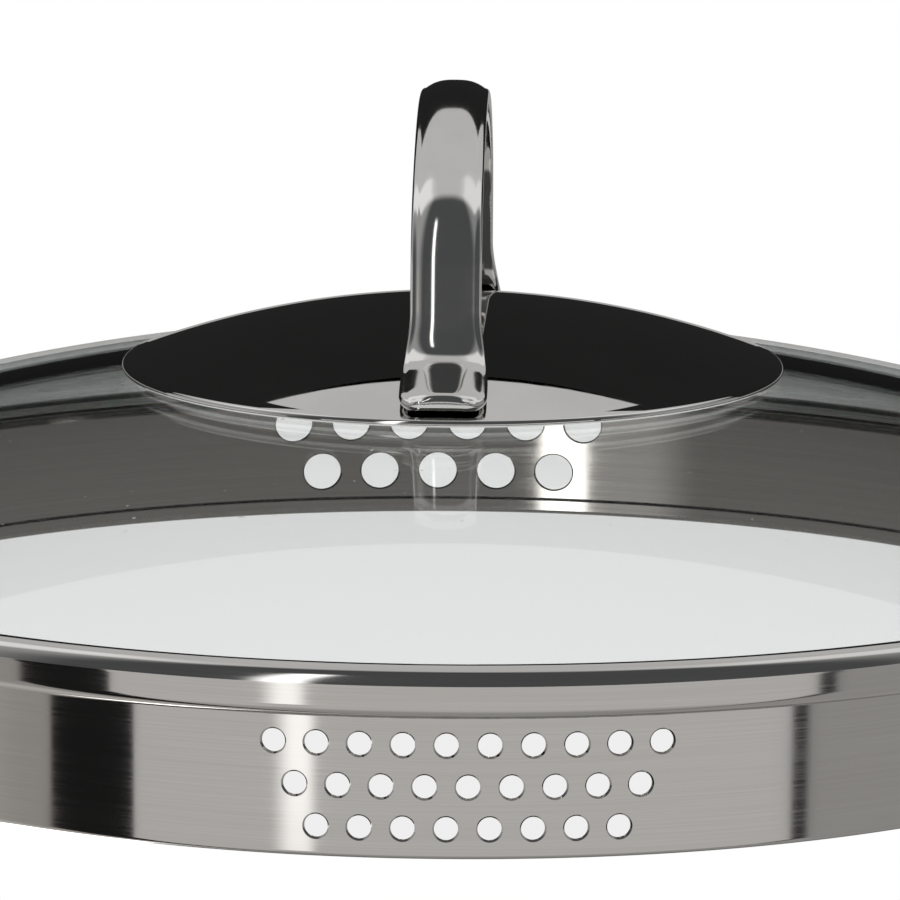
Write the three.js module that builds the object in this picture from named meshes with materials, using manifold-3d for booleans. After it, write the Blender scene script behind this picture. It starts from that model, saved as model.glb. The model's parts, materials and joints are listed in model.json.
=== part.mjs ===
// Glass strainer lid for a 20 cm saucepan: a glass dome in a stepped steel rim that has pouring holes,
// with a dished plate and a strap handle held by one screw through the middle of the glass.
// Millimetres, +Z up. The origin is on the axis of the lid, level with the bottom edge of the skirt.
import * as THREE from "three";
import { mergeVertices } from "three/addons/utils/BufferGeometryUtils.js";
import Module from "manifold-3d";

// Driving dimensions.
const gap = 0.3; // between pieces that touch on the real lid
const sheet = 0.6; // steel sheet of the rim
const skirtRadius = 98.5; // outside of the skirt, which drops into the pan
const seatHeight = 17.5; // underside of the ledge that rests on the pan's edge
const flangeRadius = 105.4; // outside of the flange
const shoulderRadius = 2.3; // rolled top of the flange
const lipRadius = 103.4; // where the top of the glass passes under the rolled lip
const glassEdgeHeight = 22.3; // top of the glass at the lip
const glassApex = 40.7;
const glassThickness = 3.5;
const glassHoleRadius = 5.5;
const rimTurn = THREE.MathUtils.degToRad(2.9); // the rim is pressed on without a key, a little off the handle

const smallHoleRadius = 1.35;
const smallHoleCounts = [10, 9, 8]; // from the top row down
const smallHoleTopRow = 13.1;
const smallHoleRowPitch = 4.77;
const smallHolePitch = 4.85; // along the skirt
const largeHoleRadius = 2.75;
const largeHoleCounts = [6, 5];
const largeHoleTopRow = 14;
const largeHoleRowPitch = 7.6;
const largeHolePitch = 8.6;

const plateRadius = 42.2;
const plateSphere = 118; // outside radius of the dished plate
const plateEdgeHeight = 38.9; // top of the plate's turned-down edge
const plateEdgeDrop = 0.7;
const plateSheet = 0.8;

const bowTop = 74.8;
const bowTopRadius = 41; // outside of the arch
const bowShoulderRadius = 13;
const bowFootRadius = 4.5; // hollow of the bend above each foot
const bowShoulderTurn = THREE.MathUtils.degToRad(40.4); // from the top of the arch to the shoulder
const legSlope = THREE.MathUtils.degToRad(85);
const strapThickness = 2.4;
const strapWidth = 8.7;
const footWidth = 10.7;
const footReach = 41.6; // from the middle of the lid to the toe
const toeCorner = 3;

const bossRadius = 4;
const screwRadius = 2.5;
const washerRadius = 8;
const sealWasherRadius = 10;
const screwHeadRadius = 5;
const screwHeadHeight = 3;

const wasm = await Module();
wasm.setup();

const steel = { color: 0xb4b2ae, metalness: 1 };
const materials = {
  brushed: new THREE.MeshStandardMaterial({ ...steel, roughness: 0.28 }),
  polished: new THREE.MeshStandardMaterial({ ...steel, roughness: 0.06 }),
  plain: new THREE.MeshStandardMaterial({ ...steel, roughness: 0.4 }),
  silicone: new THREE.MeshStandardMaterial({ color: 0xc9cbc8, roughness: 0.6, metalness: 0 }),
  glass: new THREE.MeshStandardMaterial({ color: 0xe6efec, roughness: 0.02, metalness: 0 }),
};

const sphereDrop = (radius, r) => radius - Math.sqrt(radius * radius - r * r);
const glassSag = glassApex - glassEdgeHeight;
const glassSphere = (lipRadius * lipRadius + glassSag * glassSag) / (2 * glassSag);
const glassTop = (r) => glassApex - sphereDrop(glassSphere, r);
const glassUnder = (r) => glassApex - glassThickness - sphereDrop(glassSphere - glassThickness, r);
const plateApex = plateEdgeHeight + sphereDrop(plateSphere, plateRadius);
const plateTop = (r) => plateApex - sphereDrop(plateSphere, r);
const plateUnder = (r) => plateApex - plateSheet - sphereDrop(plateSphere - plateSheet, r);

// Points along a curve height(r) from one radius to another, both ends included.
function along(height, from, to, steps) {
  const at = (i) => THREE.MathUtils.lerp(from, to, i / steps);
  return Array.from({ length: steps + 1 }, (_, i) => [at(i), height(at(i))]);
}

// Points on an arc about (r, z); the angles are in degrees from +r towards +z.
function arc(r, z, radius, from, to, steps) {
  return Array.from({ length: steps + 1 }, (_, i) => {
    const angle = THREE.MathUtils.degToRad(THREE.MathUtils.lerp(from, to, i / steps));
    return [r + radius * Math.cos(angle), z + radius * Math.sin(angle)];
  });
}

// A closed outline of [r, z] points, counterclockwise, turned about the Z axis.
function turned(outline, segments) {
  const points = [...outline, outline[0]].map(([r, z]) => new THREE.Vector2(r, z));
  return new THREE.LatheGeometry(points, segments).rotateX(Math.PI / 2);
}

function solid(geometry) {
  const plain = geometry.index ? geometry.toNonIndexed() : geometry.clone();
  plain.deleteAttribute("normal");
  plain.deleteAttribute("uv");
  const merged = mergeVertices(plain, 1e-4);
  const vertProperties = new Float32Array(merged.attributes.position.array);
  const triVerts = new Uint32Array(merged.index.array);
  return new wasm.Manifold(new wasm.Mesh({ numProp: 3, vertProperties, triVerts }));
}

function geometryOf(body) {
  const { vertProperties, triVerts } = body.getMesh();
  const geometry = new THREE.BufferGeometry();
  geometry.setAttribute("position", new THREE.BufferAttribute(vertProperties, 3));
  geometry.setIndex(new THREE.BufferAttribute(triVerts, 1));
  geometry.computeVertexNormals();
  return geometry;
}

function node(name, geometry, material) {
  const mesh = new THREE.Mesh(geometry, material);
  mesh.name = name;
  return mesh;
}

// Radial drills for one staggered field of holes, centred on the given direction.
function holeDrills(counts, topRow, rowPitch, pitch, holeRadius, direction) {
  const sides = 12;
  const length = 8;
  return counts.flatMap((count, row) =>
    Array.from({ length: count }, (_, column) => {
      const angle = direction + ((column - (count - 1) / 2) * pitch) / skirtRadius;
      const drill = new THREE.CylinderGeometry(holeRadius, holeRadius, length, sides);
      drill.rotateZ(Math.PI / 2);
      drill.translate(skirtRadius, 0, topRow - row * rowPitch);
      drill.rotateZ(angle);
      return drill;
    }),
  );
}

// One sheet: a hemmed skirt, a ledge, and a flange rolled in over the edge of the glass.
function strainerRim() {
  const hem = 2.2;
  const bend = 0.7;
  const flangeBend = 1.5;
  const inside = skirtRadius - sheet;
  const seatTop = seatHeight + sheet;
  const wall = flangeRadius - shoulderRadius;
  const shoulderHeight = glassEdgeHeight + 2 * gap + sheet - shoulderRadius;
  const outline = [
    ...arc(skirtRadius - sheet, sheet, sheet, -180, 0, 4),
    ...arc(skirtRadius + bend, seatHeight - bend, bend, 180, 90, 2),
    ...arc(flangeRadius - flangeBend, seatHeight + flangeBend, flangeBend, -90, 0, 2),
    ...arc(wall, shoulderHeight, shoulderRadius, 0, 88, 4),
    ...arc(wall, shoulderHeight, shoulderRadius - sheet, 86, 0, 3),
    [flangeRadius - sheet, seatTop + flangeBend - sheet],
    [flangeRadius - flangeBend, seatTop],
    ...arc(inside + bend + sheet, seatTop - bend - sheet, bend + sheet, 90, 180, 2),
    [inside, hem],
    [inside - sheet, hem],
  ];
  const front = -Math.PI / 2;
  const back = Math.PI / 2;
  const drills = [
    ...holeDrills(
      smallHoleCounts,
      smallHoleTopRow,
      smallHoleRowPitch,
      smallHolePitch,
      smallHoleRadius,
      front,
    ),
    ...holeDrills(
      largeHoleCounts,
      largeHoleTopRow,
      largeHoleRowPitch,
      largeHolePitch,
      largeHoleRadius,
      back,
    ),
  ];
  const drilled = drills.reduce((body, drill) => body.subtract(solid(drill)), solid(turned(outline, 72)));
  const mesh = node("strainer_rim", geometryOf(drilled), materials.brushed);
  mesh.rotation.z = rimTurn;
  return mesh;
}

function glassDome() {
  const edge = lipRadius + 0.4;
  const underEdge = edge - 1.5;
  const outline = [
    ...along(glassUnder, glassHoleRadius, underEdge, 8),
    [edge, glassUnder(underEdge) + 0.7],
    [edge + 0.2, glassTop(edge) - 1],
    ...along(glassTop, edge - 0.2, glassHoleRadius, 8),
  ];
  return node("glass_dome", turned(outline, 64), materials.glass);
}

// Silicone wedge between the ledge and the underside of the glass.
function edgeSeal() {
  const floor = seatHeight + sheet + gap;
  const outer = lipRadius - 1.6;
  const inner = skirtRadius + 0.6;
  const outline = [
    [inner, floor],
    [outer, floor],
    ...along((r) => glassUnder(r) - gap, outer, inner, 2),
  ];
  return node("edge_seal", turned(outline, 60), materials.silicone);
}

function handlePlate() {
  const edgeBend = 0.5;
  const foot = plateEdgeHeight - plateEdgeDrop;
  const outline = [
    [0, plateUnder(0)],
    ...along(plateUnder, 8, plateRadius - plateSheet, 4),
    [plateRadius - plateSheet, foot],
    [plateRadius, foot],
    [plateRadius, plateEdgeHeight - edgeBend],
    ...along(plateTop, plateRadius - edgeBend, 8, 5),
    [0, plateTop(0)],
  ];
  const points = outline.map(([r, z]) => new THREE.Vector2(r, z));
  const geometry = new THREE.LatheGeometry(points, 64).rotateX(Math.PI / 2);
  return node("handle_plate", geometry, materials.polished);
}

function plateGasket() {
  const inner = 33;
  const outer = 39.5;
  const outline = [
    ...along((r) => glassTop(r) + gap, inner, outer, 2),
    ...along((r) => plateUnder(r) - gap, outer, inner, 2),
  ];
  return node("plate_gasket", turned(outline, 48), materials.silicone);
}

// Half of the strap's middle line, from the top of the arch to a toe: [y, z, slope] at each step.
function strapLine() {
  const half = strapThickness / 2;
  const padMiddle = footReach - 3.5;
  const padSlope = Math.asin(padMiddle / plateSphere);
  const padHeight = plateTop(padMiddle) + (gap + half) / Math.cos(padSlope);
  const points = [[0, bowTop - half, 0]];
  const bend = (radius, to, steps) => {
    const [y, z, from] = points.at(-1);
    for (let i = 1; i <= steps; i += 1) {
      const slope = THREE.MathUtils.lerp(from, to, i / steps);
      points.push([
        y + radius * (Math.sin(slope) - Math.sin(from)),
        z - radius * (Math.cos(from) - Math.cos(slope)),
        slope,
      ]);
    }
  };
  bend(bowTopRadius - half, bowShoulderTurn, 6);
  bend(bowShoulderRadius - half, legSlope, 5);
  const [legY, legZ] = points.at(-1);
  const footRadius = bowFootRadius + half;
  const footRun = footRadius * (Math.sin(legSlope) - Math.sin(padSlope));
  const footDrop = footRadius * (Math.cos(padSlope) - Math.cos(legSlope));
  // The leg runs down until the bend below it comes out level with the foot pad.
  const bendToPad = padMiddle - legY - footRun;
  const legDrop =
    (legZ - footDrop - padHeight - bendToPad * Math.tan(padSlope)) /
    (1 - Math.tan(padSlope) / Math.tan(legSlope));
  points.push([legY + legDrop / Math.tan(legSlope), legZ - legDrop, legSlope]);
  bend(-footRadius, padSlope, 5);
  const [heelY, heelZ] = points.at(-1);
  points.push([footReach, heelZ - (footReach - heelY) * Math.tan(padSlope), padSlope]);
  return points;
}

// The strap seen from the side, cut to its width as seen from the front and to round toes from above.
function handleBow() {
  const half = strapThickness / 2;
  const line = strapLine();
  const whole = [...line.slice(1).reverse().map(([y, z, slope]) => [-y, z, -slope]), ...line];
  const offset = (side) => whole.map(([y, z, slope]) => [y + side * Math.sin(slope), z + side * Math.cos(slope)]);
  const profile = [...offset(-half), ...offset(half).reverse()].map(([y, z]) => new THREE.Vector2(y, z));
  const side = new THREE.ExtrudeGeometry(new THREE.Shape(profile), { depth: footWidth, bevelEnabled: false });
  side.translate(0, 0, -footWidth / 2);
  side.applyMatrix4(
    new THREE.Matrix4().makeBasis(
      new THREE.Vector3(0, 1, 0),
      new THREE.Vector3(0, 0, 1),
      new THREE.Vector3(1, 0, 0),
    ),
  );

  const low = plateEdgeHeight - 4;
  const high = bowTop + 1;
  const flareTop = 50;
  const flareFoot = 42.5;
  const front = new THREE.Shape();
  front.moveTo(-footWidth / 2, low);
  front.lineTo(footWidth / 2, low);
  front.lineTo(footWidth / 2, flareFoot);
  front.quadraticCurveTo(strapWidth / 2, flareFoot + 3, strapWidth / 2, flareTop);
  front.lineTo(strapWidth / 2, high);
  front.lineTo(-strapWidth / 2, high);
  front.lineTo(-strapWidth / 2, flareTop);
  front.quadraticCurveTo(-strapWidth / 2, flareFoot + 3, -footWidth / 2, flareFoot);
  const widths = new THREE.ExtrudeGeometry(front, {
    depth: 2 * footReach + 20,
    bevelEnabled: false,
    curveSegments: 5,
  });
  widths.rotateX(Math.PI / 2).translate(0, footReach + 10, 0);

  const plan = new THREE.Shape();
  const wide = footWidth / 2 + 0.01;
  const toe = footReach;
  plan.moveTo(-wide, -toe + toeCorner);
  plan.quadraticCurveTo(-wide, -toe, -wide + toeCorner, -toe);
  plan.lineTo(wide - toeCorner, -toe);
  plan.quadraticCurveTo(wide, -toe, wide, -toe + toeCorner);
  plan.lineTo(wide, toe - toeCorner);
  plan.quadraticCurveTo(wide, toe, wide - toeCorner, toe);
  plan.lineTo(-wide + toeCorner, toe);
  plan.quadraticCurveTo(-wide, toe, -wide, toe - toeCorner);
  const above = new THREE.ExtrudeGeometry(plan, {
    depth: high - low,
    bevelEnabled: false,
    curveSegments: 4,
  });
  above.translate(0, 0, low);

  const body = solid(side).intersect(solid(widths)).intersect(solid(above));
  return node("handle_bow", geometryOf(body), materials.polished);
}

// Threaded sleeve under the plate, which reaches down into the hole in the glass.
function centreBoss() {
  const bore = screwRadius + gap;
  const top = plateUnder(bossRadius) - gap;
  const bottom = glassUnder(0) + 0.8;
  const boreTop = top - 1.2;
  const outline = [
    [0, boreTop],
    [bore, boreTop],
    [bore, bottom],
    [bossRadius, bottom],
    [bossRadius, top],
    [0, top],
  ];
  const points = outline.map(([r, z]) => new THREE.Vector2(r, z));
  const geometry = new THREE.LatheGeometry(points, 24).rotateX(Math.PI / 2);
  return node("centre_boss", geometry, materials.plain);
}

// Silicone sleeve that keeps the boss off the glass.
function holeBush() {
  const inner = bossRadius + gap;
  const outer = glassHoleRadius - gap;
  const collar = glassHoleRadius + 2;
  const seat = glassTop(glassHoleRadius) + gap;
  const outline = [
    [inner, glassUnder(0) + gap],
    [outer, glassUnder(0) + gap],
    [outer, seat],
    [collar, seat],
    [collar, seat + 1],
    [inner, seat + 1],
  ];
  return node("hole_bush", turned(outline, 24), materials.silicone);
}

function flatWasher(name, radius, top, thickness, material) {
  const bore = screwRadius + gap;
  const outline = [
    [bore, top - thickness],
    [radius, top - thickness],
    [radius, top],
    [bore, top],
  ];
  return node(name, turned(outline, 32), material);
}

// Pan-head screw with a cross recess, driven up from inside the lid.
function handleScrew(seat) {
  const tip = plateUnder(bossRadius) - 4;
  const bottom = seat - screwHeadHeight;
  const outline = [
    [0, bottom],
    [screwHeadRadius - 1.6, bottom],
    [screwHeadRadius - 0.4, bottom + 0.7],
    [screwHeadRadius, bottom + 1.6],
    [screwHeadRadius, seat],
    [screwRadius, seat],
    [screwRadius, tip - 0.8],
    [screwRadius - 0.8, tip],
    [0, tip],
  ];
  const points = outline.map(([r, z]) => new THREE.Vector2(r, z));
  const blank = solid(new THREE.LatheGeometry(points, 24).rotateX(Math.PI / 2));
  const recess = [0, Math.PI / 2].map((turn) =>
    new THREE.BoxGeometry(5.2, 1.1, 3).rotateZ(turn).translate(0, 0, bottom),
  );
  const body = recess.reduce((whole, slot) => whole.subtract(solid(slot)), blank);
  return node("handle_screw", geometryOf(body), materials.plain);
}

const lid = new THREE.Group();
lid.add(strainerRim(), glassDome(), edgeSeal());

const handle = new THREE.Group();
handle.add(handlePlate(), plateGasket(), handleBow(), centreBoss());
lid.add(handle);

const sealWasherTop = glassUnder(sealWasherRadius) - gap;
const sealWasherThickness = 1.5;
const steelWasherTop = sealWasherTop - sealWasherThickness - gap;
const steelWasherThickness = 1;
const fixing = new THREE.Group();
fixing.add(
  holeBush(),
  flatWasher("seal_washer", sealWasherRadius, sealWasherTop, sealWasherThickness, materials.silicone),
  flatWasher("steel_washer", washerRadius, steelWasherTop, steelWasherThickness, materials.plain),
  handleScrew(steelWasherTop - steelWasherThickness - gap),
);
lid.add(fixing);

export default lid;
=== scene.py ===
"""Looks of the glass strainer lid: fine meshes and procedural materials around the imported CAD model."""

import json
import math

import bpy
import numpy as np
from mathutils import Matrix, Vector

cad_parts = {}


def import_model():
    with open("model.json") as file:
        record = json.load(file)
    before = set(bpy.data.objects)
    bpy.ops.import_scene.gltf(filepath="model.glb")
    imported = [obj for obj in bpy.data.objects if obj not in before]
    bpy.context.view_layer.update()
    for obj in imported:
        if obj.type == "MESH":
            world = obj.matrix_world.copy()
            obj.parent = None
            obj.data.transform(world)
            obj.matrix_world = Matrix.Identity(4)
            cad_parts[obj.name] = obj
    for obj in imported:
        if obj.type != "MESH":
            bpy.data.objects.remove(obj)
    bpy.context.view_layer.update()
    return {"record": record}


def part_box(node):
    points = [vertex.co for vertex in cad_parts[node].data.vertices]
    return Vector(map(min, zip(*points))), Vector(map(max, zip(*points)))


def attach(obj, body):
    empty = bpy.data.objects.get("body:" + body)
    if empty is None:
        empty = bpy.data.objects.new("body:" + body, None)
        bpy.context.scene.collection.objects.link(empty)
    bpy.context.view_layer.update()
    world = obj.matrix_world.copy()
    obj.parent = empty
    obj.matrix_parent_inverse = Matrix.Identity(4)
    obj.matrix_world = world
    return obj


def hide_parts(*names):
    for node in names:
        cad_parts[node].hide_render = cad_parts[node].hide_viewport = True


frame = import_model()

MM = 0.001
BODY = "root"
GAP = 0.3 * MM  # between neighbouring pieces
ON_AXIS = 1e-7  # points nearer to the lid's axis than this lie on it

# Sizes read from the frame, in metres.
rim_low, rim_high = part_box("strainer_rim")
plate_low, plate_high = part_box("handle_plate")
bow_low, bow_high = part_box("handle_bow")
boss_low, boss_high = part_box("centre_boss")
bush_low, bush_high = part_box("hole_bush")
seal_low, seal_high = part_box("edge_seal")
gasket_low, gasket_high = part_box("plate_gasket")
soft_washer_low, soft_washer_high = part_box("seal_washer")
washer_low, washer_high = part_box("steel_washer")
screw_low, screw_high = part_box("handle_screw")

# The rim.
SHEET = 0.6 * MM
SHOULDER = 2.3 * MM
LIP_TURN = 88  # degrees that the sheet is rolled inwards over the glass
HEM = 2.2 * MM
SKIRT = 98.5 * MM
SEAT = frame["record"]["mounts"][0]["pos_m"][2]
FLANGE = (rim_high.x - rim_low.x) / 2
LIP_TOP = rim_high.z
RIM_TURN = math.radians(2.9)
SMALL_HOLES = {
    "counts": (10, 9, 8),
    "top": 13.1 * MM,
    "row": 4.77 * MM,
    "pitch": 4.85 * MM,
    "radius": 1.35 * MM,
}
LARGE_HOLES = {
    "counts": (6, 5),
    "top": 14 * MM,
    "row": 7.6 * MM,
    "pitch": 8.6 * MM,
    "radius": 2.75 * MM,
}

# The glass, a spherical shell.
LIP = 103.4 * MM
GLASS = 3.5 * MM
GLASS_EDGE = 22.3 * MM
GLASS_APEX = 40.7 * MM
GLASS_HOLE = 5.5 * MM
GLASS_SAG = GLASS_APEX - GLASS_EDGE
GLASS_SPHERE = (LIP**2 + GLASS_SAG**2) / (2 * GLASS_SAG)

# The dished plate.
PLATE = (plate_high.x - plate_low.x) / 2
PLATE_SPHERE = 118 * MM
PLATE_APEX = plate_high.z
PLATE_FOOT = plate_low.z
PLATE_SHEET = 0.8 * MM

# The strap.
STRAP = 2.4 * MM
STRAP_WIDTH = 8.7 * MM
FOOT_WIDTH = bow_high.x - bow_low.x
TOE = bow_high.y
BOW_TOP = bow_high.z
TOP_RADIUS = 41 * MM
SHOULDER_RADIUS = 13 * MM
FOOT_RADIUS = 4.5 * MM
SHOULDER_SLOPE = math.radians(40.4)
LEG_SLOPE = math.radians(85)
FLARE_LOW = 42 * MM
FLARE_TOP = 50 * MM
CROWN = 1.05 * MM
STRAP_EDGE = 0.6 * MM
TOE_CORNER = 3 * MM
TOE_NOSE = 1.1 * MM
TOE_STEPS = 14

# The fixing under the plate.
BOSS_BORE = 2.8 * MM
WASHER_BORE = 2.8 * MM
BUSH_BORE = 4.3 * MM
SHANK = 2.5 * MM

# The space under the lid, inside the skirt, with its painted shade and painted shadow.
WELL_RADIUS = 97.2 * MM
WELL_DEPTH = 60 * MM
PAINTED_SHADOW_RADIUS = 97.5 * MM
PAINTED_SHADOW_HEIGHT = 0.1 * MM

# The camera's distance, height and turn, with the lid's axis as the origin.
VIEW_DISTANCE = 0.6687
VIEW_HEIGHT = 0.15686
VIEW_TURN = math.radians(1.7)
VIEW_PITCH = math.radians(10.978)
VIEW_ROLL = math.radians(0.42)
VIEW_LENS = 212.4
VIEW_SHIFT = (-0.0022, 0.0017)


# Meshes ------------------------------------------------------------------------------------------


def ease(value, low, high):
    """0 below low, 1 above high, and a smooth rise between."""
    t = min(1.0, max(0.0, (value - low) / (high - low)))
    return t * t * (3 - 2 * t)


def sphere_drop(radius, r):
    return radius - math.sqrt(radius * radius - r * r)


def glass_top(r):
    return GLASS_APEX - sphere_drop(GLASS_SPHERE, r)


def glass_under(r):
    return GLASS_APEX - GLASS - sphere_drop(GLASS_SPHERE - GLASS, r)


def plate_top(r):
    return PLATE_APEX - sphere_drop(PLATE_SPHERE, r)


def plate_under(r):
    return PLATE_APEX - PLATE_SHEET - sphere_drop(PLATE_SPHERE - PLATE_SHEET, r)


def arc(r, z, radius, start, end, steps):
    """Points on an arc about (r, z), with angles in degrees from +r towards +z."""
    angles = np.radians(np.linspace(start, end, steps + 1))
    return [(r + radius * math.cos(a), z + radius * math.sin(a)) for a in angles]


def along(height, start, end, steps):
    return [(r, height(r)) for r in np.linspace(start, end, steps + 1)]


def mesh_object(name, vertices, faces, material):
    mesh = bpy.data.meshes.new(name)
    mesh.from_pydata([tuple(v) for v in vertices], [], faces)
    mesh.validate()
    mesh.update()
    made = bpy.data.objects.new(name, mesh)
    bpy.context.scene.collection.objects.link(made)
    if material is not None:
        mesh.materials.append(material)
    return made


def smooth(piece, angle=30):
    piece.data.shade_smooth()
    piece.data.set_sharp_from_angle(angle=math.radians(angle))
    return piece


def turned(name, outline, segments, material):
    """A closed outline of (r, z) points, counterclockwise, turned about the Z axis.

    Points on the axis become poles.
    """
    vertices, rings = [], []
    for r, z in outline:
        if r < ON_AXIS:
            rings.append([len(vertices)] * segments)
            vertices.append((0, 0, z))
            continue
        rings.append(list(range(len(vertices), len(vertices) + segments)))
        for i in range(segments):
            a = 2 * math.pi * i / segments
            vertices.append((r * math.cos(a), r * math.sin(a), z))
    faces = []
    for k, ring in enumerate(rings):
        upper = rings[(k + 1) % len(rings)]
        for i in range(segments):
            j = (i + 1) % segments
            corners = [ring[i], ring[j], upper[j], upper[i]]
            corners = [c for n, c in enumerate(corners) if c != corners[n - 1]]
            if len(corners) > 2:
                faces.append(corners)
    return smooth(mesh_object(name, vertices, faces, material))


def cut(piece, cutters):
    """Subtracts the cutters, joined as one mesh, from the piece and applies the result."""
    vertices, faces = [], []
    for cutter in cutters:
        base = len(vertices)
        vertices += cutter[0]
        faces += [[base + i for i in face] for face in cutter[1]]
    tool = mesh_object("cutter", vertices, faces, None)
    boolean = piece.modifiers.new("cut", "BOOLEAN")
    boolean.operation = "DIFFERENCE"
    boolean.solver = "EXACT"
    boolean.object = tool
    depsgraph = bpy.context.evaluated_depsgraph_get()
    mesh = bpy.data.meshes.new_from_object(piece.evaluated_get(depsgraph))
    piece.modifiers.clear()
    piece.data = mesh
    bpy.data.objects.remove(tool)
    return piece


def drill(angle, height, radius, sides=40):
    """A radial drill whose ends flare, so that the hole has a small broken edge on both faces."""
    inner, outer = SKIRT - SHEET, SKIRT
    flare = 0.2 * MM
    edge = 0.15 * MM
    clear = 0.02 * MM
    reach = 3 * MM
    stations = [
        (inner - reach, radius + flare),
        (inner - clear, radius + flare),
        (inner + edge, radius),
        (outer - edge, radius),
        (outer + clear, radius + flare),
        (outer + reach, radius + flare),
    ]
    turn = Matrix.Rotation(angle, 3, "Z")
    vertices = []
    for along_axis, r in stations:
        for i in range(sides):
            a = 2 * math.pi * i / sides
            vertices.append(turn @ Vector((along_axis, r * math.cos(a), height + r * math.sin(a))))
    faces = [list(range(sides))[::-1], list(range(len(vertices) - sides, len(vertices)))]
    for k in range(len(stations) - 1):
        for i in range(sides):
            j = (i + 1) % sides
            faces.append([k * sides + i, k * sides + j, (k + 1) * sides + j, (k + 1) * sides + i])
    return vertices, faces


def drills(field, direction):
    made = []
    for row, count in enumerate(field["counts"]):
        for column in range(count):
            angle = direction + (column - (count - 1) / 2) * field["pitch"] / SKIRT
            made.append(drill(angle, field["top"] - row * field["row"], field["radius"]))
    return made


def strainer_rim(material):
    bend = 0.7 * MM
    flange_bend = 1.5 * MM
    inside = SKIRT - SHEET
    seat_top = SEAT + SHEET
    wall = FLANGE - SHOULDER
    top_clear = 0.02 * MM
    shoulder_z = LIP_TOP - SHOULDER * math.sin(math.radians(LIP_TURN)) - top_clear
    tip = wall + 0.04 * MM
    tip_edge = 0.12 * MM
    hem_rise = 0.2 * MM
    hem_edge = 0.15 * MM
    outline = [
        *arc(inside, SHEET, SHEET, -180, 0, 16),
        *arc(SKIRT + bend, SEAT - bend, bend, 180, 90, 8),
        *arc(FLANGE - flange_bend, SEAT + flange_bend, flange_bend, -90, 0, 10),
        *arc(wall, shoulder_z, SHOULDER, 0, LIP_TURN - 2, 20),
        (tip, shoulder_z + SHOULDER - tip_edge),
        (tip, shoulder_z + SHOULDER - SHEET + tip_edge),
        *arc(wall, shoulder_z, SHOULDER - SHEET, LIP_TURN - 4, 0, 12),
        *arc(FLANGE - flange_bend, seat_top + flange_bend - SHEET, flange_bend - SHEET, 0, -90, 4),
        *arc(inside + bend + SHEET, seat_top - bend - SHEET, bend + SHEET, 90, 180, 8),
        (inside, HEM + hem_rise),
        (inside - hem_edge, HEM),
        (inside - SHEET + hem_edge, HEM),
        (inside - SHEET, HEM - hem_edge),
    ]
    rim = turned("rim_sheet", outline, 512, material)
    front, back = -math.pi / 2, math.pi / 2
    cut(rim, drills(SMALL_HOLES, front) + drills(LARGE_HOLES, back))
    rim.data.transform(Matrix.Rotation(RIM_TURN, 4, "Z"))
    return round_walls(smooth(rim, 28))


def round_walls(rim):
    """Gives the upright walls the normals of a true cylinder, so that mirrored light runs straight."""
    upright = 0.02
    square_on = 0.98
    mesh = rim.data
    normals = [Vector(corner.vector) for corner in mesh.corner_normals]
    for face in mesh.polygons:
        if abs(face.normal.z) > upright:
            continue
        for loop in face.loop_indices:
            place = mesh.vertices[mesh.loops[loop].vertex_index].co
            outward = Vector((place.x, place.y, 0)).normalized()
            facing = outward.dot(face.normal)
            if abs(facing) > square_on:
                normals[loop] = outward * math.copysign(1, facing)
    mesh.normals_split_custom_set(normals)
    return rim


def glass_dome(material):
    edge = LIP + 0.4 * MM
    edge_step = 0.2 * MM
    under_edge = edge - 1.5 * MM
    reach = edge + edge_step - under_edge
    foot = glass_under(under_edge)
    rise = 1.9 * MM
    hole_edge = 0.3 * MM
    outline = [
        *along(glass_under, GLASS_HOLE + hole_edge, under_edge, 60),
        *[
            (under_edge + reach * math.sin(t), foot + rise * (1 - math.cos(t)))
            for t in np.linspace(0.2, math.pi / 2, 8)
        ],
        *along(glass_top, edge - edge_step, GLASS_HOLE + hole_edge, 60),
        (GLASS_HOLE, glass_top(GLASS_HOLE) - hole_edge),
        (GLASS_HOLE, glass_under(GLASS_HOLE) + hole_edge),
    ]
    return turned("glass_shell", outline, 384, material)


def edge_seal(material):
    outer = (seal_high.x - seal_low.x) / 2
    inner = outer - 2.7 * MM
    bottom = seal_low.z
    edge = 0.2 * MM
    wave = 0.12 * MM
    top = [(r, glass_under(r) - GAP) for r in np.linspace(outer, inner + 0.25 * MM, 10)]
    shares = np.linspace(0, 1, 6)
    heights = np.linspace(top[-1][1] - edge, bottom + edge, 6)
    face = [(inner + wave * math.sin(t * math.pi * 3), z) for t, z in zip(shares, heights)]
    outline = [(inner + edge, bottom), (outer, bottom), *top, *face]
    return turned("edge_bead", outline, 256, material)


def handle_plate(material):
    bend = 0.55 * MM
    slope = math.degrees(math.asin((PLATE - bend) / PLATE_SPHERE))
    bend_z = plate_top(PLATE - bend) - bend * math.cos(math.radians(slope))
    inner = PLATE - PLATE_SHEET
    foot_edge = 0.12 * MM
    foot_round = 0.3 * MM
    pole = 1.5 * MM
    outline = [
        (0, plate_under(0)),
        *along(plate_under, pole, inner - 0.4 * MM, 40),
        (inner, PLATE_FOOT + foot_edge),
        (inner + foot_edge, PLATE_FOOT),
        *arc(PLATE - foot_round, PLATE_FOOT + foot_round, foot_round, -90, 0, 6),
        *arc(PLATE - bend, bend_z, bend, 0, 90 - slope, 10),
        *along(plate_top, PLATE - bend - 0.6 * MM, pole, 60),
        (0, PLATE_APEX),
    ]
    return turned("plate_disc", outline, 360, material)


def plate_gasket(material):
    outer = (gasket_high.x - gasket_low.x) / 2
    inner = outer - 6.5 * MM
    outline = [
        *along(lambda r: glass_top(r) + GAP, inner, outer, 8),
        *along(lambda r: plate_under(r) - GAP, outer, inner, 8),
    ]
    return turned("gasket_ring", outline, 192, material)


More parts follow.
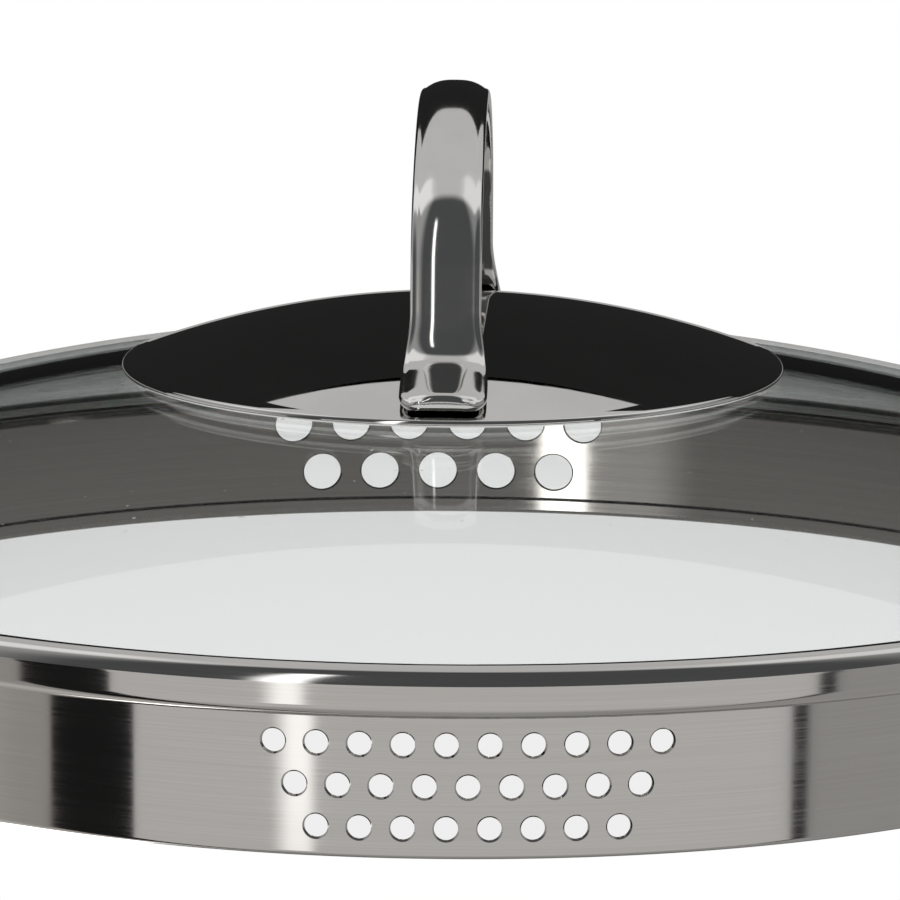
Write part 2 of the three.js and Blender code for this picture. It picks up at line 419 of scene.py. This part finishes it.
def strap_line():
    """The strap's middle line from the top of the arch to a toe: (y, z, slope) at each step."""
    half = STRAP / 2
    pad = TOE - 3.5 * MM
    pad_slope = math.asin(pad / PLATE_SPHERE)
    pad_z = plate_top(pad) + (GAP + half) / math.cos(pad_slope)
    points = [(0.0, BOW_TOP - half, 0.0)]

    def bend(radius, to, steps):
        y, z, start = points[-1]
        for slope in np.linspace(start, to, steps + 1)[1:]:
            forward = radius * (math.sin(slope) - math.sin(start))
            down = radius * (math.cos(start) - math.cos(slope))
            points.append((y + forward, z - down, slope))

    def straight(length, steps):
        y, z, slope = points[-1]
        for s in np.linspace(0, length, steps + 1)[1:]:
            points.append((y + s * math.cos(slope), z - s * math.sin(slope), slope))

    bend(TOP_RADIUS - half, SHOULDER_SLOPE, 34)
    bend(SHOULDER_RADIUS - half, LEG_SLOPE, 24)
    leg_y, leg_z, _ = points[-1]
    radius = FOOT_RADIUS + half
    run = radius * (math.sin(LEG_SLOPE) - math.sin(pad_slope))
    drop = radius * (math.cos(pad_slope) - math.cos(LEG_SLOPE))
    to_pad = pad - leg_y - run
    height_left = leg_z - drop - pad_z - to_pad * math.tan(pad_slope)
    leg_drop = height_left / (1 - math.tan(pad_slope) / math.tan(LEG_SLOPE))
    straight(leg_drop / math.sin(LEG_SLOPE), 14)
    bend(-radius, pad_slope, 20)
    heel_y = points[-1][0]
    length = (TOE - heel_y) / math.cos(pad_slope)
    straight(length - TOE_CORNER, 8)
    y, z, slope = points[-1]
    for t in np.linspace(0, math.pi / 2, TOE_STEPS + 1)[1:]:
        s = TOE_CORNER * math.sin(t)
        points.append((y + s * math.cos(slope), z - s * math.sin(slope), slope))
    return points


def strap_width(z):
    """The strap widens smoothly from the leg to the foot."""
    return STRAP_WIDTH + (FOOT_WIDTH - STRAP_WIDTH) * ease(FLARE_TOP - z, 0, FLARE_TOP - FLARE_LOW)


def rounded_off(radius, past):
    """The change that a rounded corner makes to the full width, at a distance past its start."""
    return 2 * (math.sqrt(max(0, radius**2 - past**2)) - radius)


def strap_section(width, thickness):
    """Points (across, outward) round the strap, with a crowned outer face and rolled edges."""
    thin = 0.42
    crown_power = 2.8
    edge = min(STRAP_EDGE, thin * thickness, thin * width)
    side = width / 2 - edge
    crown = min(CROWN, max(0, thickness - 2 * edge))

    def edge_arc(height, angles):
        return [(side + edge * math.sin(a), height + edge * math.cos(a)) for a in np.radians(angles)]

    across = np.linspace(-side, side, 25)
    outer = [(x, thickness / 2 - crown * abs(x / side) ** crown_power) for x in across]
    right = edge_arc(thickness / 2 - crown - edge, [25, 45, 65, 85])
    right += edge_arc(edge - thickness / 2, [95, 115, 135, 155])
    under = [(x, -thickness / 2) for x in np.linspace(side, -side, 9)]
    left = [(-x, y) for x, y in reversed(right)]
    return outer + right + under + left


def handle_bow(material):
    line = strap_line()
    toe_y, toe_z, _ = line[-1 - TOE_STEPS]
    stations = []
    for y, z, slope in line:
        past = math.hypot(y - toe_y, z - toe_z) if y > toe_y else 0
        past = min(past, TOE_CORNER)
        past_nose = max(0, past - (TOE_CORNER - TOE_NOSE))
        width = strap_width(z) + rounded_off(TOE_CORNER, past)
        thickness = STRAP + rounded_off(TOE_NOSE, past_nose)
        stations.append((y, z, slope, width, thickness))
    both = [(-y, z, -slope, w, t) for y, z, slope, w, t in reversed(stations[1:])] + stations
    vertices, faces = [], []
    for y, z, slope, width, thickness in both:
        along_y, along_z = math.sin(slope), math.cos(slope)
        for across, out in strap_section(width, thickness):
            vertices.append((-across, y + out * along_y, z + out * along_z))
    count = len(strap_section(STRAP_WIDTH, STRAP))
    for k in range(len(both) - 1):
        for i in range(count):
            j = (i + 1) % count
            faces.append([k * count + i, (k + 1) * count + i, (k + 1) * count + j, k * count + j])
    faces.append(list(range(count)))
    faces.append(list(range(len(vertices) - count, len(vertices)))[::-1])
    bow = mesh_object("strap_bow", vertices, faces, material)
    return smooth(bow, 50)


def centre_boss(material):
    radius = (boss_high.x - boss_low.x) / 2
    low, high = boss_low.z, boss_high.z
    bore_end = high - 1.2 * MM
    low_edge = 0.3 * MM
    top_edge = 0.2 * MM
    outline = [
        (0, bore_end),
        (BOSS_BORE, bore_end),
        (BOSS_BORE, low + low_edge),
        (BOSS_BORE + low_edge, low),
        (radius - low_edge, low),
        (radius, low + low_edge),
        (radius, high - top_edge),
        (radius - top_edge, high),
        (0, high),
    ]
    return turned("boss_sleeve", outline, 96, material)


def hole_bush(material):
    collar = (bush_high.x - bush_low.x) / 2
    sleeve = GLASS_HOLE - GAP
    seat = bush_high.z - 1 * MM
    edge = 0.2 * MM
    collar_round = 0.4 * MM
    outline = [
        (BUSH_BORE, bush_low.z),
        (sleeve - edge, bush_low.z),
        (sleeve, bush_low.z + edge),
        (sleeve, seat),
        (collar - 0.1 * MM, seat),
        *arc(collar - collar_round, seat + 0.6 * MM, collar_round, 0, 90, 6),
        (BUSH_BORE, bush_high.z),
    ]
    return turned("bush_sleeve", outline, 96, material)


def washer(name, low, high, dish, material):
    """A washer whose top face is dished by the given depth."""
    radius = (high.x - low.x) / 2
    edge = min(0.3 * MM, (high.z - low.z) / 3)
    land = 1 * MM
    shares = np.linspace(0.1, 0.9, 6)
    radii = np.linspace(radius - land, WASHER_BORE + land, 6)
    outline = [
        (WASHER_BORE, low.z + edge),
        (WASHER_BORE + edge, low.z),
        *arc(radius - edge, low.z + edge, edge, -90, 0, 5),
        *arc(radius - edge, high.z - edge, edge, 0, 90, 5),
        *[(r, high.z - dish * math.sin(t * math.pi)) for t, r in zip(shares, radii)],
        (WASHER_BORE + edge, high.z),
        (WASHER_BORE, high.z - edge),
    ]
    return turned(name, outline, 128, material)


def handle_screw(material):
    head = (screw_high.x - screw_low.x) / 2
    low, tip = screw_low.z, screw_high.z
    seat = low + 3 * MM
    brim = seat - 1.5 * MM
    head_edge = 0.2 * MM
    pitch, thread_depth = 0.8 * MM, 0.35 * MM
    point_length, point_step = 1 * MM, 0.8 * MM
    dome = [
        (head * math.sin(a), brim - (brim - low) * math.cos(a))
        for a in np.linspace(0.05, math.pi / 2, 14)
    ]
    threads = []
    z = seat + 1 * MM
    while z < tip - 1.5 * MM:
        threads += [(SHANK, z), (SHANK - thread_depth, z + pitch / 2)]
        z += pitch
    outline = [
        (0, low),
        *dome,
        (head, seat - head_edge),
        (head - head_edge, seat),
        (SHANK, seat),
        *threads,
        (SHANK, tip - point_length),
        (SHANK - point_step, tip),
        (0, tip),
    ]
    screw = turned("pan_screw", outline, 96, material)
    for turn in (0, math.pi / 2):
        cut(screw, [cross_slot(low, turn)])
    return smooth(screw, 35)


def cross_slot(low, turn):
    """One arm of a cross recess, tapering inwards."""
    reach, half, depth = 2.6 * MM, 0.55 * MM, 1.8 * MM
    start, narrowing = low - 1 * MM, 0.55
    matrix = Matrix.Rotation(turn, 3, "Z")
    corners = []
    for z, share in ((start, 1.0), (low + depth, narrowing)):
        for x, y in ((-1, -1), (1, -1), (1, 1), (-1, 1)):
            corners.append(matrix @ Vector((x * reach * share, y * half * share, z)))
    faces = [[3, 2, 1, 0], [4, 5, 6, 7], [0, 1, 5, 4], [1, 2, 6, 5], [2, 3, 7, 6], [3, 0, 4, 7]]
    return corners, faces


# Materials ---------------------------------------------------------------------------------------


class Nodes:
    """A material's node tree, with short calls for the nodes used here."""

    def __init__(self, name):
        self.material = bpy.data.materials.new(name)
        self.material.use_nodes = True
        self.tree = self.material.node_tree
        self.shader = self.tree.nodes["Principled BSDF"]
        self.output = self.tree.nodes["Material Output"]

    def add(self, kind, **settings):
        node = self.tree.nodes.new(kind)
        for key, value in settings.items():
            setattr(node, key, value)
        return node

    def link(self, source, target):
        self.tree.links.new(source, target)

    def math(self, operation, a, b=0.0):
        node = self.add("ShaderNodeMath", operation=operation)
        for socket, value in zip(node.inputs, (a, b)):
            if isinstance(value, (int, float)):
                socket.default_value = value
            else:
                self.link(value, socket)
        return node.outputs[0]

    def coordinates(self):
        return self.add("ShaderNodeTexCoord").outputs["Object"]

    def scaled(self, vector, scale):
        node = self.add("ShaderNodeMapping")
        node.inputs["Scale"].default_value = scale
        self.link(vector, node.inputs["Vector"])
        return node.outputs[0]

    def noise(self, vector, scale, detail=4.0, roughness=0.55):
        node = self.add("ShaderNodeTexNoise")
        node.inputs["Scale"].default_value = scale
        node.inputs["Detail"].default_value = detail
        node.inputs["Roughness"].default_value = roughness
        self.link(vector, node.inputs["Vector"])
        return node.outputs["Fac"]

    def ramp(self, value, low, high, start=0.35, end=0.65):
        """value, eased between start and end, as a number from low to high."""
        node = self.add("ShaderNodeMapRange", interpolation_type="SMOOTHSTEP")
        node.inputs["From Min"].default_value = start
        node.inputs["From Max"].default_value = end
        node.inputs["To Min"].default_value = low
        node.inputs["To Max"].default_value = high
        self.link(value, node.inputs["Value"])
        return node.outputs[0]

    def colours(self, value, dark, light):
        node = self.add("ShaderNodeMix", data_type="RGBA")
        node.inputs["A"].default_value = (*dark, 1)
        node.inputs["B"].default_value = (*light, 1)
        self.link(value, node.inputs["Factor"])
        return node.outputs["Result"]

    def bump(self, height, strength, distance):
        node = self.add("ShaderNodeBump")
        node.inputs["Strength"].default_value = strength
        node.inputs["Distance"].default_value = distance
        self.link(height, node.inputs["Height"])
        self.link(node.outputs[0], self.shader.inputs["Normal"])

    def set(self, **values):
        for key, value in values.items():
            socket = self.shader.inputs[key.replace("_", " ")]
            if isinstance(value, (int, float, tuple)):
                socket.default_value = value
            else:
                self.link(value, socket)


def round_grain(n, along_scale, across_scale):
    """Coordinates whose noise runs in long threads round the Z axis, on walls and on flat rings alike."""
    split = n.add("ShaderNodeSeparateXYZ")
    n.link(n.coordinates(), split.inputs[0])
    x, y, z = split.outputs
    radius = n.math("SQRT", n.math("ADD", n.math("MULTIPLY", x, x), n.math("MULTIPLY", y, y)))
    across = n.math("ADD", z, radius)
    join = n.add("ShaderNodeCombineXYZ")
    n.link(n.math("MULTIPLY", x, along_scale), join.inputs[0])
    n.link(n.math("MULTIPLY", y, along_scale), join.inputs[1])
    n.link(n.math("MULTIPLY", across, across_scale), join.inputs[2])
    return join.outputs[0]


def brushed_steel():
    n = Nodes("brushed_steel")
    fine = n.noise(round_grain(n, 30.0, 5200.0), 1.0, 3.0, 0.6)
    broad = n.noise(round_grain(n, 14.0, 900.0), 1.0, 2.0, 0.5)
    haze = n.noise(n.coordinates(), 26.0, 3.0, 0.5)
    grain = n.math("ADD", n.math("MULTIPLY", fine, 0.7), n.math("MULTIPLY", broad, 0.3))
    tangent = n.add("ShaderNodeTangent", direction_type="RADIAL", axis="Z")
    n.link(tangent.outputs[0], n.shader.inputs["Tangent"])
    n.set(
        Base_Color=n.colours(n.ramp(grain, 0, 1), (0.625, 0.61, 0.59), (0.665, 0.655, 0.635)),
        Metallic=1.0,
        Roughness=n.math("ADD", n.ramp(grain, 0.045, 0.07), n.ramp(haze, 0.0, 0.02)),
        Anisotropic=0.4,
    )
    n.bump(grain, 0.02, 0.00002)
    return n.material


def polished_steel(name, low, high):
    n = Nodes(name)
    place = n.coordinates()
    smudge = n.noise(place, 55.0, 5.0, 0.6)
    swirl = n.noise(n.scaled(place, (900.0, 60.0, 900.0)), 1.0, 2.0, 0.5)
    ripple = n.noise(place, 120.0, 2.0, 0.4)
    n.set(
        Base_Color=n.colours(n.ramp(smudge, 0, 1), (0.66, 0.65, 0.635), (0.71, 0.70, 0.685)),
        Metallic=1.0,
        Roughness=n.math("ADD", n.ramp(smudge, low, high, start=0.45, end=0.8), n.ramp(swirl, 0.0, 0.012)),
    )
    n.bump(ripple, 0.03, 0.0004)
    return n.material


def plain_steel():
    n = Nodes("plain_steel")
    rings = n.noise(round_grain(n, 300.0, 9000.0), 1.0, 2.0, 0.5)
    spots = n.noise(n.coordinates(), 400.0, 3.0, 0.5)
    n.set(
        Base_Color=n.colours(n.ramp(spots, 0, 1), (0.50, 0.49, 0.475), (0.60, 0.59, 0.575)),
        Metallic=1.0,
        Roughness=n.ramp(rings, 0.2, 0.38),
    )
    n.bump(rings, 0.15, 0.00003)
    return n.material


def clear_glass():
    n = Nodes("clear_glass")
    place = n.coordinates()
    smear = n.noise(n.scaled(place, (1.0, 1.6, 1.0)), 38.0, 5.0, 0.6)
    specks = n.noise(place, 900.0, 1.0, 0.5)
    n.set(
        Base_Color=(1.0, 1.0, 1.0, 1.0),
        Roughness=n.math(
            "ADD",
            n.ramp(smear, 0.0, 0.02, start=0.6, end=0.85),
            n.ramp(specks, 0.0, 0.12, start=0.78, end=0.82),
        ),
        IOR=1.5,
        Transmission_Weight=1.0,
    )
    absorb = n.add("ShaderNodeVolumeAbsorption")
    absorb.inputs["Color"].default_value = (0.60, 0.80, 0.73, 1)
    absorb.inputs["Density"].default_value = 16.0
    n.link(absorb.outputs[0], n.output.inputs["Volume"])
    return n.material


def silicone():
    n = Nodes("silicone")
    place = n.coordinates()
    mottle = n.noise(place, 180.0, 4.0, 0.55)
    pores = n.noise(place, 1600.0, 2.0, 0.5)
    n.set(
        Base_Color=n.colours(n.ramp(mottle, 0, 1), (0.60, 0.61, 0.60), (0.72, 0.73, 0.715)),
        Roughness=n.ramp(mottle, 0.42, 0.6),
        Subsurface_Weight=0.25,
        Subsurface_Scale=0.002,
    )
    n.bump(pores, 0.25, 0.00005)
    return n.material


# Staging -----------------------------------------------------------------------------------------

WHITE = (1, 1, 1)
HARD = 0.01  # degrees over which a sharp end of a panel fades
LEVEL = -2.5  # degrees at which the low panels end and the middle ones start


def emission(name, strength, colour=WHITE):
    """Plain light of one strength."""
    material, light, output = light_nodes(name, colour)
    light.inputs["Strength"].default_value = strength
    material.node_tree.links.new(light.outputs[0], output.inputs["Surface"])
    return material


def glow_emission(name, colour, clear):
    """Light whose strength is the mesh's glow attribute. If clear, it adds to what is behind it."""
    material, light, output = light_nodes(name, colour)
    tree = material.node_tree
    glow = tree.nodes.new("ShaderNodeAttribute")
    glow.attribute_name = "glow"
    tree.links.new(glow.outputs["Fac"], light.inputs["Strength"])
    surface = light
    if clear:
        surface = tree.nodes.new("ShaderNodeAddShader")
        tree.links.new(light.outputs[0], surface.inputs[0])
        tree.links.new(tree.nodes.new("ShaderNodeBsdfTransparent").outputs[0], surface.inputs[1])
    tree.links.new(surface.outputs[0], output.inputs["Surface"])
    return material


def light_nodes(name, colour):
    material = bpy.data.materials.new(name)
    material.use_nodes = True
    nodes = material.node_tree.nodes
    nodes.clear()
    light = nodes.new("ShaderNodeEmission")
    light.inputs["Color"].default_value = (*colour, 1)
    return material, light, nodes.new("ShaderNodeOutputMaterial")


def seen_by(stage_object, camera, glossy):
    stage_object.visible_camera = camera
    stage_object.visible_transmission = camera
    stage_object.visible_glossy = glossy
    stage_object.visible_diffuse = glossy
    stage_object.visible_shadow = False
    return stage_object


def plateau(value, span, before, after):
    """1 inside the span, falling smoothly to 0 over the given widths outside it."""
    return ease(value, span[0] - before, span[0]) * (1 - ease(value, span[1], span[1] + after))


def stops(span, before, after, steps):
    """Values across a span and its soft ends, closer together in the ends."""
    start = np.linspace(span[0] - before, span[0], 9)[:-1]
    end = np.linspace(span[1], span[1] + after, 9)[1:]
    return [*start, *np.linspace(*span, steps + 1), *end]


def glowing_grid(name, columns, rows, point, glow, colour, clear=True):
    """A grid of vertices point(column, row) whose light is glow(column, row), hidden from the camera."""
    vertices = [point(c, r) for r in rows for c in columns]
    width = len(columns)
    faces = [
        [j * width + i, j * width + i + 1, (j + 1) * width + i + 1, (j + 1) * width + i]
        for j in range(len(rows) - 1)
        for i in range(width - 1)
    ]
    made = mesh_object(name, vertices, faces, glow_emission(name, colour, clear))
    light = made.data.attributes.new("glow", "FLOAT", "POINT")
    light.data.foreach_set("value", [glow(c, r) for r in rows for c in columns])
    return seen_by(made, False, True)


def patch(name, azimuths, elevations, strength, soft=(HARD, HARD, HARD, HARD), distance=4.0, colour=WHITE):
    """A studio panel on a sphere about the lid, in degrees from the camera's side.

    Its soft ends are the widths in degrees on the left, on the right, below and above.
    """
    centre = Vector((0, 0, 30 * MM))
    left, right, below, above = soft

    def point(azimuth, elevation):
        turn = math.radians(azimuth) + VIEW_TURN
        e = math.radians(elevation)
        outward = Vector((math.sin(turn) * math.cos(e), -math.cos(turn) * math.cos(e), math.sin(e)))
        return centre + outward * distance

    def glow(azimuth, elevation):
        side_share = plateau(azimuth, azimuths, left, right)
        return strength * side_share * plateau(elevation, elevations, below, above)

    def steps(span):
        """One step to every 4 degrees."""
        return max(2, round((span[1] - span[0]) / 4))

    columns = stops(azimuths, left, right, steps(azimuths))
    rows = stops(elevations, below, above, steps(elevations))
    return glowing_grid(name, columns, rows, point, glow, colour)


def ceiling(name, x_span, y_span, z, strength, side_soft, front_soft, back_soft):
    """A flat level studio panel with soft ends, turned to the camera."""
    turn = Matrix.Rotation(VIEW_TURN, 3, "Z")

    def point(x, y):
        return turn @ Vector((x, y, z))

    def glow(x, y):
        side_share = plateau(x, x_span, side_soft, side_soft)
        return strength * side_share * plateau(y, y_span, front_soft, back_soft)

    columns = stops(x_span, side_soft, side_soft, 12)
    rows = stops(y_span, front_soft, back_soft, 6)
    return glowing_grid(name, columns, rows, point, glow, WHITE)


def well():
    """A glowing wall and floor hidden from the camera: painted shade for the shaded space under the lid,
    as the inside of the skirt mirrors it.

    It glows darker than the studio, with a painted band of light and a painted highlight streak at the
    front left.
    """
    cream = (1.0, 0.975, 0.94)

    def point(azimuth, z):
        turn = math.radians(azimuth) + VIEW_TURN
        return Vector((WELL_RADIUS * math.sin(turn), -WELL_RADIUS * math.cos(turn), z))

    def glow(azimuth, _):
        # painted shade for the lid's shadow, plus a painted band of light and a painted highlight streak,
        # seen only in reflections
        shade = 0.21
        painted_light_band = 0.26 * plateau(azimuth, (-46, -34), 14, 4)
        painted_highlight_streak = 3.2 * plateau(azimuth, (-31, -22), 2, 2)
        return shade + painted_light_band + painted_highlight_streak

    columns = np.linspace(-180, 180, 361)
    rows = [-WELL_DEPTH, PAINTED_SHADOW_HEIGHT]
    glowing_grid("painted_shade_wall", columns, rows, point, glow, cream, clear=False)
    disc("painted_shade_floor", WELL_RADIUS, -WELL_DEPTH, 0.2, False, True)


def studio():
    warm = (1.0, 0.985, 0.965)
    cool = (0.94, 0.97, 1.0)
    low = (-89, LEVEL)
    patch("front_low", (-45, 49), low, 0.34, colour=warm)
    patch("front_low_light", (-45, 49), (-30, LEVEL), 0.25, (HARD, HARD, 30, HARD), 4.1, warm)
    patch("black_screens", (-58, 51.5), low, 0.012)
    patch("left_low", (-115, -58), low, 0.36, colour=(1.0, 0.96, 0.92))
    patch("left_far", (-115, -78), low, 0.2, (HARD, 16, HARD, HARD), 4.1, warm)
    patch("right_low", (51.5, 115), low, 0.36, colour=warm)
    patch("back_low", (115, 245), low, 0.4, colour=warm)
    patch("front_mid", (-115, 115), (LEVEL, 72), 0.09, (HARD, HARD, 2, 10), 4.2, cool)
    patch("left_mid", (-115, -72), (LEVEL, 64), 0.3, (HARD, 22, 2, 10), 4.3)
    patch("right_mid", (74, 115), (LEVEL, 64), 0.22, (18, HARD, 2, 10), 4.3)
    patch("back_mid", (115, 245), (LEVEL, 41), 0.018)
    patch("strip_low", (-21.6, -20), (-14, LEVEL), 0.9, (3.5, 2, 5, HARD), 3.6)
    patch("strip", (-22, -20), (LEVEL, 44), 2.2, (5, 3, HARD, 9), 3.6)
    ceiling("overhead", (-1.9, 1.9), (-0.14, 1.6), 1.5, 0.62, 0.15, 0.3, 0.015)
    well()
    # painted shadow: a disc a little darker than the white floor, under the lid, seen by the camera and
    # through the glass
    disc("painted_shadow_under_lid", PAINTED_SHADOW_RADIUS, PAINTED_SHADOW_HEIGHT, 0.86, True, False)


def disc(name, radius, z, strength, camera, glossy):
    """A round level panel about the lid's axis."""
    sides = 96
    angles = np.linspace(0, 2 * math.pi, sides + 1)[:-1]
    ring = [(radius * math.cos(a), radius * math.sin(a), z) for a in angles]
    made = mesh_object(name, ring, [list(range(sides))], emission(name, strength))
    return seen_by(made, camera, glossy)


def floor():
    """A white floor just below the lid, which reflections don't see."""
    size, z = 12.0, -0.5 * MM
    corners = [(x * size, y * size, z) for x, y in ((-1, -1), (1, -1), (1, 1), (-1, 1))]
    ground = mesh_object("floor", corners, [[0, 1, 2, 3]], emission("floor", 1.0))
    return seen_by(ground, True, False)


def world():
    """White for the camera only: reflections and rays inside the glass don't see it."""
    made = bpy.data.worlds.new("studio")
    bpy.context.scene.world = made
    made.use_nodes = True
    background = made.node_tree.nodes["Background"]
    background.inputs["Color"].default_value = (1, 1, 1, 1)
    background.inputs["Strength"].default_value = 1.0
    made.cycles_visibility.glossy = False
    made.cycles_visibility.transmission = False


def camera():
    data = bpy.data.cameras.new("camera")
    data.sensor_width = 36
    data.lens = VIEW_LENS
    data.shift_x, data.shift_y = VIEW_SHIFT
    data.clip_start, data.clip_end = 0.05, 60
    made = bpy.data.objects.new("camera", data)
    bpy.context.scene.collection.objects.link(made)
    forward = Vector((0, math.cos(VIEW_PITCH), -math.sin(VIEW_PITCH)))
    up = Vector((0, math.sin(VIEW_PITCH), math.cos(VIEW_PITCH)))
    right = Vector((1, 0, 0))
    tilt = math.sin(VIEW_ROLL)
    level = math.cos(VIEW_ROLL)
    rolled_right = right * level + up * tilt
    rolled_up = up * level - right * tilt
    basis = Matrix((rolled_right, rolled_up, -forward)).transposed().to_4x4()
    place = Matrix.Translation((0, -VIEW_DISTANCE, VIEW_HEIGHT))
    made.matrix_world = Matrix.Rotation(VIEW_TURN, 4, "Z") @ place @ basis
    bpy.context.scene.camera = made


# Assembly ----------------------------------------------------------------------------------------


def stand_for(piece, node):
    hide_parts(node)
    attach(piece, BODY)


camera()
world()
floor()
studio()

brushed = brushed_steel()
mirror = polished_steel("mirror_steel", 0.015, 0.04)
satin = polished_steel("satin_steel", 0.08, 0.13)
plain = plain_steel()
glass = clear_glass()
rubber = silicone()

stand_for(strainer_rim(brushed), "strainer_rim")
stand_for(glass_dome(glass), "glass_dome")
stand_for(edge_seal(rubber), "edge_seal")
stand_for(handle_plate(mirror), "handle_plate")
stand_for(plate_gasket(rubber), "plate_gasket")
stand_for(handle_bow(satin), "handle_bow")
stand_for(centre_boss(plain), "centre_boss")
stand_for(hole_bush(rubber), "hole_bush")
soft_washer = washer("soft_washer", soft_washer_low, soft_washer_high, 0, rubber)
stand_for(soft_washer, "seal_washer")
cup_washer = washer("cup_washer", washer_low, washer_high, 0.2 * MM, plain)
stand_for(cup_washer, "steel_washer")
stand_for(handle_screw(plain), "handle_screw")

bpy.context.scene.view_settings.view_transform = "Standard"
